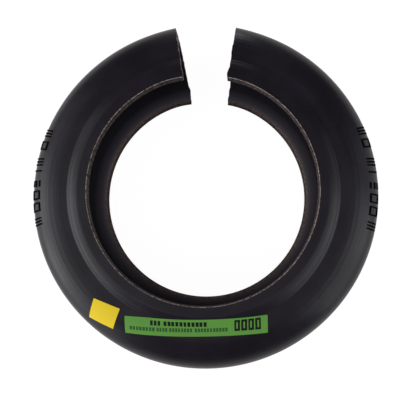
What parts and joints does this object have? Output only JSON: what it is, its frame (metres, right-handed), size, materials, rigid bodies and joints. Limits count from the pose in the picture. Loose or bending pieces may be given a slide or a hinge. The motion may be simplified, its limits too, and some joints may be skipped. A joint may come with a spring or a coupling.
{
  "type": "tyre coupling element",
  "caption": "Split rubber ring of U section, clamped by its beads between two hub flanges to join shafts flexibly; with two stickers on its side.",
  "frame": {"origin": "on the axis of the ring, at the height of the rear bead faces that it lies on", "axes": "+Z along the axis, out of the side with the stickers; +Y through the split; +X to the right when looking at that side with the split up"},
  "size_m": [0.1994, 0.1984, 0.0467],
  "materials": {
    "tyre": "matt",
    "green_label": "satin",
    "yellow_label": "satin"
  },
  "bodies": {
    "root": {"tyre": "tyre", "green_label": "green_label", "yellow_label": "yellow_label"}
  },
  "joints": []
}
